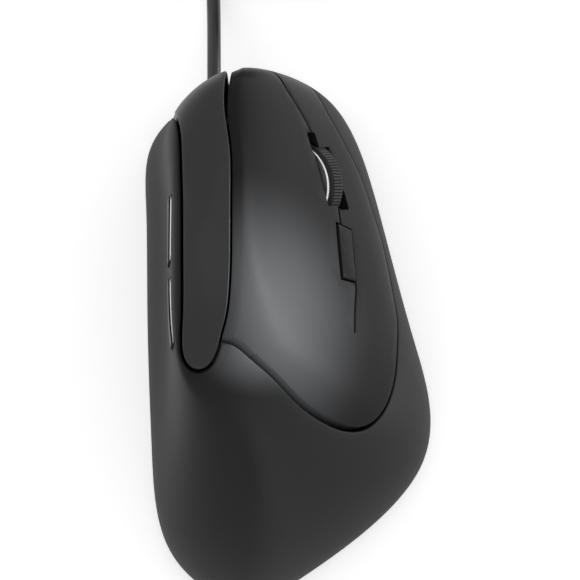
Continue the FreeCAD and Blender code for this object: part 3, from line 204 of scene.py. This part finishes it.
@dataclass(frozen=True)
class Plating:
    """A bright metal or plated finish with fine brushing."""

    name: str
    colour: tuple[float, float, float]
    roughness: float
    brushing: float = 0.04
    brush_scale: tuple[float, float, float] = (400.0, 6000.0, 6000.0)

    def build(self) -> bpy.types.Material:
        """Make the material.

        Returns:
            The metal material with fine brushed variation in its roughness.
        """
        material, nodes, links, shader = new_material(self.name)
        shader.inputs["Metallic"].default_value = 1.0
        shader.inputs["Base Color"].default_value = (*self.colour, 1.0)
        place = nodes.new("ShaderNodeTexCoord")
        stretch = nodes.new("ShaderNodeMapping")
        stretch.inputs["Scale"].default_value = self.brush_scale
        brushing = nodes.new("ShaderNodeTexNoise")
        brushing.inputs["Scale"].default_value = 1.0
        links.new(place.outputs["Object"], stretch.inputs["Vector"])
        links.new(stretch.outputs["Vector"], brushing.inputs["Vector"])
        gloss = nodes.new("ShaderNodeMapRange")
        gloss.inputs["To Min"].default_value = self.roughness - self.brushing
        gloss.inputs["To Max"].default_value = self.roughness + self.brushing
        links.new(brushing.outputs["Fac"], gloss.inputs["Value"])
        links.new(gloss.outputs["Result"], shader.inputs["Roughness"])
        return material


def new_material(name: str) -> tuple[
        bpy.types.Material, bpy.types.Nodes, bpy.types.NodeLinks, bpy.types.Node]:
    """Start a node material.

    Args:
        name: The material's name.

    Returns:
        The material, its nodes, its links and its shader node.
    """
    material = bpy.data.materials.new(name)
    material.use_nodes = True
    nodes = material.node_tree.nodes
    return material, nodes, material.node_tree.links, nodes["Principled BSDF"]


@dataclass
class Finishes:
    """Every finish on the mouse, made once and handed out by name."""

    shell: Moulding = Moulding(
        "shell_plastic", (0.007, 0.007, 0.0075), 0.62,
        # A painted highlight: a paler oval on the palm beside the buttons.
        painted_sheen=PaintedSheen(
            (-8.0 * MM, -14.0 * MM), (14.0 * MM, 10.0 * MM), (0.110, 0.113, 0.117), 0.0))
    panel: Moulding = Moulding(
        "panel_plastic", (0.010, 0.010, 0.0105), 0.45, specular=0.5, ior=1.38)
    buttons: Moulding = Moulding(
        "button_plastic", (0.013, 0.013, 0.0135), 0.33, ior=1.18,
        # A painted highlight: a paler oval across the middle of the buttons.
        painted_sheen=PaintedSheen(
            (-2.5 * MM, -4.5 * MM), (23.0 * MM, 34.0 * MM), (0.118, 0.122, 0.127), 0.05))
    keys: Moulding = Moulding(
        "key_plastic", (0.010, 0.010, 0.0105), 0.35, Grain.SATIN, 0.1 * MM, 0.1, ior=1.2)
    tyre: Moulding = Moulding(
        "tyre_rubber", (0.014, 0.014, 0.014), 0.55, Grain.SATIN, 0.3 * MM, 0.3)
    inner: Moulding = Moulding("inner_plastic", (0.035, 0.035, 0.035), 0.55)
    pale: Moulding = Moulding("pale_plastic", (0.62, 0.61, 0.58), 0.4, Grain.SATIN, 0.3 * MM, 0.1)
    feet: Moulding = Moulding(
        "foot_sheet", (0.045, 0.045, 0.045), 0.25, Grain.SATIN, 0.4 * MM, 0.08)
    board: Moulding = Moulding("board_mask", (0.012, 0.10, 0.03), 0.3, Grain.SATIN, 0.5 * MM, 0.1)
    cord: Moulding = Moulding(
        "cord_jacket", (0.014, 0.014, 0.0145), 0.36, Grain.SATIN, 0.25 * MM, 0.12, specular=0.4)
    steel: Plating = Plating("plain_steel", (0.55, 0.55, 0.56), 0.32)
    silver: Plating = Plating("silver_plating", (0.58, 0.58, 0.59), 0.30)
    brass: Plating = Plating("gilt_contact", (0.80, 0.58, 0.22), 0.2)
    made: dict[str, bpy.types.Material] = field(default_factory=dict)

    def get(self, name: str) -> bpy.types.Material:
        """Give a finish's material, made the first time it is asked for.

        Args:
            name: The field that holds the finish.

        Returns:
            The material.
        """
        if name not in self.made:
            self.made[name] = self.clear() if name == "clear" else getattr(self, name).build()
        return self.made[name]

    def clear(self) -> bpy.types.Material:
        """Make the clear plastic of the lens and the lamp.

        Returns:
            The material.
        """
        material, _, _, shader = new_material("clear_plastic")
        shader.inputs["Base Color"].default_value = (0.9, 0.9, 0.9, 1.0)
        shader.inputs["Transmission Weight"].default_value = 0.9
        shader.inputs["Roughness"].default_value = 0.08
        return material


def new_object(name: str, data: bpy.types.ID) -> bpy.types.Object:
    """Make an object and link it to the scene.

    Args:
        name: The object's name.
        data: Its mesh, curve, lamp or camera data.

    Returns:
        The object.
    """
    piece = bpy.data.objects.new(name, data)
    bpy.context.scene.collection.objects.link(piece)
    return piece


def dress(piece: bpy.types.Object, material: bpy.types.Material) -> None:
    """Give a piece one material.

    Args:
        piece: The mesh or curve object.
        material: The finish.
    """
    piece.data.materials.clear()
    piece.data.materials.append(material)


def smooth_copy(node: bpy.types.Object, name: str, angle: float = 32.0) -> bpy.types.Object:
    """Copy a CAD node as one welded mesh with smooth shading up to an angle.

    Args:
        node: The CAD node's object.
        name: The new piece's name.
        angle: The largest turn between faces, in degrees, that is shaded smooth.

    Returns:
        The new object, at the origin.
    """
    mesh = node.data.copy()
    mesh.name = name
    work = bmesh.new()
    work.from_mesh(mesh)
    bmesh.ops.remove_doubles(work, verts=work.verts, dist=WELD)
    limit = math.radians(angle)
    for face in work.faces:
        face.smooth = True
    for edge in work.edges:
        edge.smooth = len(edge.link_faces) == 2 and edge.calc_face_angle(0.0) < limit
    work.to_mesh(mesh)
    work.free()
    return new_object(name, mesh)


@dataclass
class Relief:
    """Shapes a copy of the side shell.

    It has a ridge that runs down the palm and a collar let down round the crest panel's tail.
    """

    ridge_line: tuple[tuple[float, float], ...] = (
        (-19.5, -18.9), (-17.7, -20.3), (-16.6, -22.0), (-15.3, -24.0), (-13.3, -26.7),
        (-10.5, -30.5), (-7.9, -34.4), (-6.6, -38.3), (-5.7, -42.2), (-5.2, -46.5))
    ridge_height: float = 0.42 * MM
    ridge_reach: float = 5.5 * MM
    collar_width: float = 2.7 * MM
    collar_drop: float = 1.0 * MM
    collar_start: float = -11.0 * MM
    collar_left: float = -23.5 * MM
    finest: float = 0.55 * MM
    rounds: int = 4
    up_limit: float = 0.1
    lowest: float = 30.0 * MM
    head_fade: float = 0.12
    tail_fade: float = 0.35
    ridge_power: float = 1.6
    collar_fade: float = 3.0 * MM
    refined_width: float = 1.3
    crease: float = math.radians(32.0)

    def off_line(self, place: Vector) -> tuple[float, float]:
        """Measure how far a place is from the ridge's line in plan.

        Args:
            place: The place.

        Returns:
            Its distance from the line, and how far along the line its nearest point is, as a share.
        """
        flat = Vector((place.x, place.y))
        nearest = (1.0, 0.0)
        pieces = len(self.ridge_line) - 1
        for index in range(pieces):
            start = Vector(self.ridge_line[index]) * MM
            run = Vector(self.ridge_line[index + 1]) * MM - start
            share = min(max((flat - start).dot(run) / run.length_squared, 0.0), 1.0)
            gap = (flat - start - run * share).length
            if gap < nearest[0]:
                nearest = (gap, (index + share) / pieces)
        return nearest

    def lift(self, place: Vector) -> float:
        """Work out the ridge's height at a place.

        Args:
            place: The place.

        Returns:
            How far the surface stands out there.
        """
        gap, along = self.off_line(place)
        if gap >= self.ridge_reach:
            return 0.0
        ends = min(along / self.head_fade, (1.0 - along) / self.tail_fade, 1.0)
        return self.ridge_height * ends * (1.0 - gap / self.ridge_reach) ** self.ridge_power

    def sink(self, place: Vector, gap: float) -> float:
        """Work out the collar's depth at a place.

        Args:
            place: The place.
            gap: Its distance from the crest panel.

        Returns:
            How far the surface is let down there.
        """
        if gap >= self.collar_width or place.y > self.collar_start:
            return 0.0
        ends = min((self.collar_start - place.y) / MM,
                   (place.x - self.collar_left) / self.collar_fade, 1.0)
        return self.collar_drop * max(ends, 0.0) * (1.0 - gap / self.collar_width)

    def shape(self, shell: bpy.types.Object, panel: bpy.types.Object) -> None:
        """Refine the shell's mesh near the ridge and the collar, and move it into their shapes.

        Args:
            shell: The copy of the side shell.
            panel: The crest panel, which the collar goes round.
        """
        work = bmesh.new()
        work.from_mesh(shell.data)
        tree = BVHTree.FromPolygons([v.co.copy() for v in panel.data.vertices],
                                    [list(p.vertices) for p in panel.data.polygons])

        def near(place: Vector) -> bool:
            if place.z < self.lowest or place.y > self.collar_start:
                return False
            gap = tree.find_nearest(place)[3]
            return self.lift(place) > 0 or gap < self.collar_width * self.refined_width

        for _ in range(self.rounds):
            work.normal_update()
            edges = [edge for edge in work.edges
                     if edge.calc_length() > self.finest
                     and any(face.normal.z > self.up_limit for face in edge.link_faces)
                     and near((edge.verts[0].co + edge.verts[1].co) / 2)]
            if not edges:
                break
            bmesh.ops.subdivide_edges(work, edges=edges, cuts=1)
            bmesh.ops.triangulate(work, faces=[face for face in work.faces if len(face.verts) > 3])
        work.normal_update()
        moves = []
        for vertex in work.verts:
            if vertex.normal.z > self.up_limit and near(vertex.co):
                drop = self.sink(vertex.co, tree.find_nearest(vertex.co)[3])
                moves.append((vertex, vertex.normal * self.lift(vertex.co) - Vector((0, 0, drop))))
        for vertex, move in moves:
            vertex.co += move
        work.normal_update()
        for face in work.faces:
            face.smooth = True
        for edge in work.edges:
            edge.smooth = edge.calc_face_angle(0.0) < self.crease
        work.to_mesh(shell.data)
        work.free()
        log.info("relief moved %d points", len(moves))


@dataclass
class Body:
    """The mouse's CAD nodes, each dressed in its finish."""

    frame: dict
    finishes: Finishes
    finish_of_slot: dict[str, str] = field(default_factory=lambda: {
        "shell": "shell", "panel": "panel", "buttons": "buttons", "keys": "keys",
        "bright_trim": "silver", "tyre": "tyre", "inner_plastic": "inner", "light_plastic": "pale",
        "feet": "feet", "board": "board", "switch": "inner", "plunger": "pale", "steel": "steel",
        "clear": "clear", "cord": "cord", "contact": "brass"})
    hinged: tuple[str, ...] = ("left_button", "right_button", "button_cover")
    hinge_reach: float = 0.3 * MM
    trim_inset: float = 0.5 * MM
    trim_root: float = -25.3 * MM
    copied: tuple[str, ...] = (
        "side_shell", "top_panel", "left_button", "right_button", "button_cover", "dpi_key",
        "forward_key", "back_key", "forward_trim", "back_trim", "strain_relief")

    def build(self) -> dict[str, bpy.types.Object]:
        """Dress every node, and swap the smooth outer ones for welded copies.

        Returns:
            The new pieces by node name.
        """
        pieces = {}
        slots = {part["node"]: part["material_slot"] for part in self.frame["record"]["subparts"]}
        bodies = {node: body for body, nodes in self.frame["record"]["behaviour"]["bodies"].items()
                  for node in nodes}
        for name, slot in slots.items():
            node = self.frame["nodes"][name]
            material = self.finishes.get(self.finish_of_slot[slot])
            if name in self.copied:
                piece = smooth_copy(node, name + "_skin")
                if name in self.hinged:
                    self.close_hinge(piece)
                dress(piece, material)
                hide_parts(name)
                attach(piece, bodies[name])
                pieces[name] = piece
                log.info("piece %s from node %s", piece.name, name)
            else:
                dress(node, material)
        Relief().shape(pieces["side_shell"], pieces["top_panel"])
        for name in ("forward_trim", "back_trim"):
            self.set_trim(pieces[name])
        return pieces

    def set_trim(self, trim: bpy.types.Object) -> None:
        """Cut a trim's hidden inner half away and set it nearly flush.

        Args:
            trim: The copy of the trim.
        """
        work = bmesh.new()
        work.from_mesh(trim.data)
        geometry = list(work.verts) + list(work.edges) + list(work.faces)
        cut = bmesh.ops.bisect_plane(work, geom=geometry, plane_co=(self.trim_root, 0, 0),
                                     plane_no=(1, 0, 0), clear_outer=True)
        rim = [item for item in cut["geom_cut"] if isinstance(item, bmesh.types.BMEdge)]
        bmesh.ops.holes_fill(work, edges=rim, sides=0)
        bmesh.ops.translate(work, verts=work.verts, vec=(self.trim_inset, 0, 0))
        bmesh.ops.triangulate(work, faces=[face for face in work.faces if len(face.verts) > 4])
        work.to_mesh(trim.data)
        work.free()

    def close_hinge(self, piece: bpy.types.Object) -> None:
        """Bring the walls at the buttons' moulded hinge together, so that no slit shows.

        Args:
            piece: A button, or the cover behind them.
        """
        joints = {joint["name"]: joint for joint in self.frame["record"]["behaviour"]["joints"]}
        place = Vector(joints["left_press"]["pos_m"])
        outwards, along = (Vector(joints[name]["axis"]) for name in ("left_plunge", "left_press"))
        across = outwards.cross(along).normalized()
        for vertex in piece.data.vertices:
            off = (vertex.co - place).dot(across)
            if abs(off) < self.hinge_reach:
                vertex.co -= across * off


@dataclass
class Tread:
    """The wheel's rubber tyre, hollow beside the bright ring and finely ribbed across the rest."""

    frame: dict
    finishes: Finishes
    ribs: int = 96
    rib_depth: float = 0.28 * MM
    steps_in_rib: int = 4
    outline: tuple[tuple[float, float, bool], ...] = (
        (0.00, 1.5, False), (0.12, 1.4, False), (0.22, 0.9, False), (0.28, 0.25, False),
        (0.32, 0.0, True), (0.60, 0.0, True), (0.90, 0.0, True), (0.95, 0.2, False),
        (1.00, 0.7, False))

    def build(self) -> bpy.types.Object:
        """Make the tyre round the wheel's axis, as wide and as large as its CAD node.

        Returns:
            The mesh object.
        """
        joint = next(joint for joint in self.frame["record"]["behaviour"]["joints"]
                     if joint["name"] == "wheel_spin")
        centre, axis = Vector(joint["pos_m"]), Vector(joint["axis"]).normalized()
        ring = [(v.co - centre).dot(axis) for v in self.frame["nodes"]["wheel_ring"].data.vertices]
        if sum(ring) > 0:
            axis = -axis
        offs = [v.co - centre for v in self.frame["nodes"]["wheel_tyre"].data.vertices]
        alongs = [off.dot(axis) for off in offs]
        reaches = [(off - axis * along).length for off, along in zip(offs, alongs)]
        low, width, seat, outer = min(alongs), max(alongs) - min(alongs), min(reaches), max(reaches)
        across = axis.orthogonal().normalized()
        beside = axis.cross(across)
        section = [(0.0, outer - seat, False),
                   *[(share, drop * MM, ribbed) for share, drop, ribbed in self.outline],
                   (1.0, outer - seat, False)]
        steps = self.ribs * self.steps_in_rib
        work = bmesh.new()
        rings = []
        for step in range(steps):
            angle = 2 * math.pi * step / steps
            out = across * math.cos(angle) + beside * math.sin(angle)
            groove = self.rib_depth if step % self.steps_in_rib == 0 else 0.0
            rings.append([work.verts.new(centre + axis * (low + share * width)
                                         + out * (outer - drop - (groove if ribbed else 0.0)))
                          for share, drop, ribbed in section])
        for step in range(steps):
            here, after = rings[step], rings[(step + 1) % steps]
            for index in range(len(section)):
                onward = (index + 1) % len(section)
                work.faces.new((here[index], after[index], after[onward], here[onward]))
        bmesh.ops.recalc_face_normals(work, faces=work.faces)
        mesh = bpy.data.meshes.new("wheel_tread")
        work.to_mesh(mesh)
        work.free()
        piece = new_object("wheel_tread", mesh)
        dress(piece, self.finishes.get("tyre"))
        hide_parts("wheel_tyre")
        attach(piece, "wheel")
        log.info("piece wheel_tread with %d faces", len(mesh.polygons))
        return piece


@dataclass
class Cord:
    """The free cord: from the strain relief along the desk into a coil, and on to the plug."""

    finishes: Finishes
    exit: Vector = field(default_factory=lambda: Vector((-17.105, 59.858, 9.0)) * MM)
    diameter: float = 3.2 * MM
    length: float = 1.8
    floor: float = 1.65 * MM
    step: float = 4.15 * MM
    radius: float = 25.0 * MM
    turns: int = 3
    layers: int = 4
    points_in_half_turn: int = 8
    climb_bulge: float = 0.42

    def lead(self) -> list[Vector]:
        """Lay the points from the exit to the coil, the same as in the solid model.

        Returns:
            The points.
        """
        start = self.exit
        return [
            start,
            start + Vector((0, 8, 0)) * MM,
            Vector((start.x - 0.2 * MM, start.y + 22 * MM, self.floor)),
            Vector((start.x - 0.8 * MM, start.y + 41 * MM, self.floor)),
        ]

    def coil_start(self) -> Vector:
        """Work out where the coil's first turn starts.

        Returns:
            The place.
        """
        return Vector((self.exit.x - 0.8 * MM, self.exit.y + 59.5 * MM, self.floor))

    def half_turns(self) -> list[tuple[float, float, float, float]]:
        """Work out the coil's half turns.

        Returns:
            Radius, shift of the centre, level and climb of each.
        """
        half = self.step / 2
        inner = self.radius - self.step * self.turns
        rows = []
        for layer in range(self.layers):
            level = layer * self.step
            for index in range(self.turns):
                if layer % 2 == 0:
                    radius = self.radius - index * self.step
                    rows += [(radius, 0.0, level, 0.0), (radius - half, half, level, 0.0)]
                else:
                    radius = inner + index * self.step
                    rows += [(radius + half, -half, level, 0.0),
                             (radius + self.step, 0.0, level, 0.0)]
            if layer % 2 == 0:
                rows.append((inner, 0.0, level, self.step))
            elif layer < self.layers - 1:
                rows.append((self.radius, 0.0, level, self.step))
            else:
                rows.append((self.radius + half, -half, level, 0.0))
        return rows

    def coil(self) -> list[Vector]:
        """Lay the points round the coil, a little outside its line so that the spline runs on it.

        Returns:
            The points.
        """
        centre = self.coil_start() + Vector((self.radius, 0, 0))
        stretch = 1.0 / math.cos(math.pi / self.points_in_half_turn / 2)
        points = [self.coil_start()]
        for index, (radius, shift, level, climb) in enumerate(self.half_turns()):
            sign = 1 if index % 2 == 0 else -1
            bulge = self.step * self.climb_bulge if climb and sign < 0 else 0.0
            for count in range(self.points_in_half_turn):
                share = (count + 0.5) / self.points_in_half_turn
                angle = math.pi * (1 - share)
                along = Vector((math.cos(angle) * sign, math.sin(angle) * sign, 0))
                reach = (radius + bulge * math.sin(angle)) * (1 + (stretch - 1) * 0.5)
                points.append(centre + Vector((shift, 0, level + climb * share)) + along * reach)
        return points

    def tail(self) -> list[Vector]:
        """Lay the points from the coil's last turn to the plug.

        Returns:
            The points.
        """
        start = self.coil_start() + Vector((-self.step, 0, self.step * (self.layers - 1)))
        return [
            start,
            start + Vector((0, 14, 0)) * MM,
            Vector((start.x - 2.5 * MM, start.y + 36 * MM, 4.0 * MM)),
            Vector((start.x - 2.5 * MM, start.y + 49 * MM, 4.0 * MM)),
        ]

    def build(self) -> bpy.types.Object:
        """Make the cord as one open spline with a round section.

        Returns:
            The curve object.
        """
        curve = bpy.data.curves.new("cord", "CURVE")
        curve.dimensions = "3D"
        spline = curve.splines.new("NURBS")
        points = self.lead() + self.coil() + self.tail()
        spline.points.add(len(points) - 1)
        for point, place in zip(spline.points, points):
            point.co = (*place, 1.0)
        spline.order_u = 3
        spline.use_endpoint_u = True
        spline.resolution_u = 4
        curve.bevel_depth = self.diameter / 2
        curve.bevel_resolution = 5
        curve.use_fill_caps = True
        piece = new_object("cord", curve)
        dress(piece, self.finishes.get("cord"))
        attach(piece, "housing")
        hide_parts("cord_run", "cord_coil")
        log.info("piece cord with %d points", len(points))
        return piece


@dataclass(frozen=True)
class Softbox:
    """One rectangular soft lamp that faces the mouse."""

    name: str
    place: tuple[float, float, float]
    size: tuple[float, float]
    power: float

    def hang(self, target: Vector) -> None:
        """Make the lamp.

        Args:
            target: The point that it faces.
        """
        data = bpy.data.lights.new(self.name, "AREA")
        data.shape = "RECTANGLE"
        data.size, data.size_y = self.size
        data.energy = self.power
        lamp = new_object(self.name, data)
        lamp.location = self.place
        lamp.rotation_euler = (target - Vector(self.place)).to_track_quat("-Z", "Y").to_euler()


@dataclass
class Studio:
    """Camera, floor, world and lamps at the photograph's angle."""

    target: Vector = field(default_factory=lambda: Vector((0.64, 7.59, 31.6)) * MM)
    distance: float = 1.2
    elevation: float = 78.5
    lens: float = 327.7
    fill: float = 0.50
    floor_glow: float = 0.45
    floor_reach: float = 4.0
    sensor_width: float = 36.0
    nearest_seen: float = 0.01
    softboxes: tuple[Softbox, ...] = (
        Softbox("low_strip", (0.95, 0.27, 0.06), (0.35, 0.12), 2.7),
        Softbox("right_strip", (0.97, 0.12, 0.08), (0.35, 0.15), 5.4),
        Softbox("right_box", (0.95, -0.45, 0.25), (0.5, 0.6), 0.9),
        Softbox("top_box", (0.1, 0.2, 1.4), (0.7, 0.7), 1.8),
        Softbox("left_box", (-0.9, 0.1, 0.45), (0.6, 0.6), 1.5),
        Softbox("far_left_box", (-0.7, 0.7, 0.5), (0.6, 0.8), 0.8),
        Softbox("rear_box", (0.0, -1.0, 0.45), (0.9, 0.6), 2.1),
    )

    def camera(self) -> None:
        """Place the camera."""
        tilt = math.radians(self.elevation)
        away = Vector((0, -math.cos(tilt), math.sin(tilt)))
        data = bpy.data.cameras.new("camera")
        data.lens = self.lens
        data.sensor_width = self.sensor_width
        data.clip_start = self.nearest_seen
        camera = new_object("camera", data)
        camera.location = self.target + away * self.distance
        camera.rotation_euler = (math.pi / 2 - tilt, 0, 0)
        bpy.context.scene.camera = camera

    def shown(self, nodes: bpy.types.Nodes, links: bpy.types.NodeLinks, plain: float,
              white: float) -> bpy.types.NodeSocket:
        """Give one strength to the rays that show the backdrop and another to the rest.

        Args:
            nodes: The nodes of the material or the world.
            links: Their links.
            plain: The strength that lights the mouse.
            white: The strength that the camera, gloss and clear plastic see.

        Returns:
            The socket with the strength.
        """
        path = nodes.new("ShaderNodeLightPath")
        seen = path.outputs["Is Camera Ray"]
        for name in ("Is Glossy Ray", "Is Transmission Ray"):
            either = nodes.new("ShaderNodeMath")
            either.operation = "MAXIMUM"
            links.new(seen, either.inputs[0])
            links.new(path.outputs[name], either.inputs[1])
            seen = either.outputs["Value"]
        strength = nodes.new("ShaderNodeMapRange")
        strength.inputs["To Min"].default_value = plain
        strength.inputs["To Max"].default_value = white
        links.new(seen, strength.inputs["Value"])
        return strength.outputs["Result"]

    def floor(self) -> None:
        """Lay a wide pale floor that is white to the camera apart from the shadow."""
        mesh = bpy.data.meshes.new("floor")
        work = bmesh.new()
        bmesh.ops.create_grid(work, x_segments=1, y_segments=1, size=self.floor_reach)
        work.to_mesh(mesh)
        work.free()
        floor = new_object("floor", mesh)
        material, nodes, links, shader = new_material("floor_paper")
        shader.inputs["Base Color"].default_value = (0.9, 0.9, 0.9, 1.0)
        shader.inputs["Roughness"].default_value = 0.9
        shader.inputs["Specular IOR Level"].default_value = 0.0
        shader.inputs["Emission Color"].default_value = (1.0, 1.0, 1.0, 1.0)
        links.new(self.shown(nodes, links, 0.0, self.floor_glow),
                  shader.inputs["Emission Strength"])
        dress(floor, material)

    def world(self) -> None:
        """Light the scene softly and show white behind it."""
        world = bpy.data.worlds.new("studio")
        world.use_nodes = True
        nodes, links = world.node_tree.nodes, world.node_tree.links
        backdrop = nodes["Background"]
        backdrop.inputs["Color"].default_value = (1.0, 1.0, 1.0, 1.0)
        links.new(self.shown(nodes, links, self.fill, 1.0), backdrop.inputs["Strength"])
        bpy.context.scene.world = world

    def build(self) -> None:
        """Set up the whole studio."""
        bpy.context.scene.view_settings.view_transform = "Standard"
        self.camera()
        self.floor()
        self.world()
        for softbox in self.softboxes:
            softbox.hang(self.target)


def main() -> None:
    """Build the studio, dress the mouse and lay its cord."""
    logging.basicConfig(level=logging.INFO, format="%(name)s: %(message)s")
    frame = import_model()
    finishes = Finishes()
    Studio().build()
    Cord(finishes).build()
    Body(frame, finishes).build()
    Tread(frame, finishes).build()


if __name__ == "__main__":
    main()
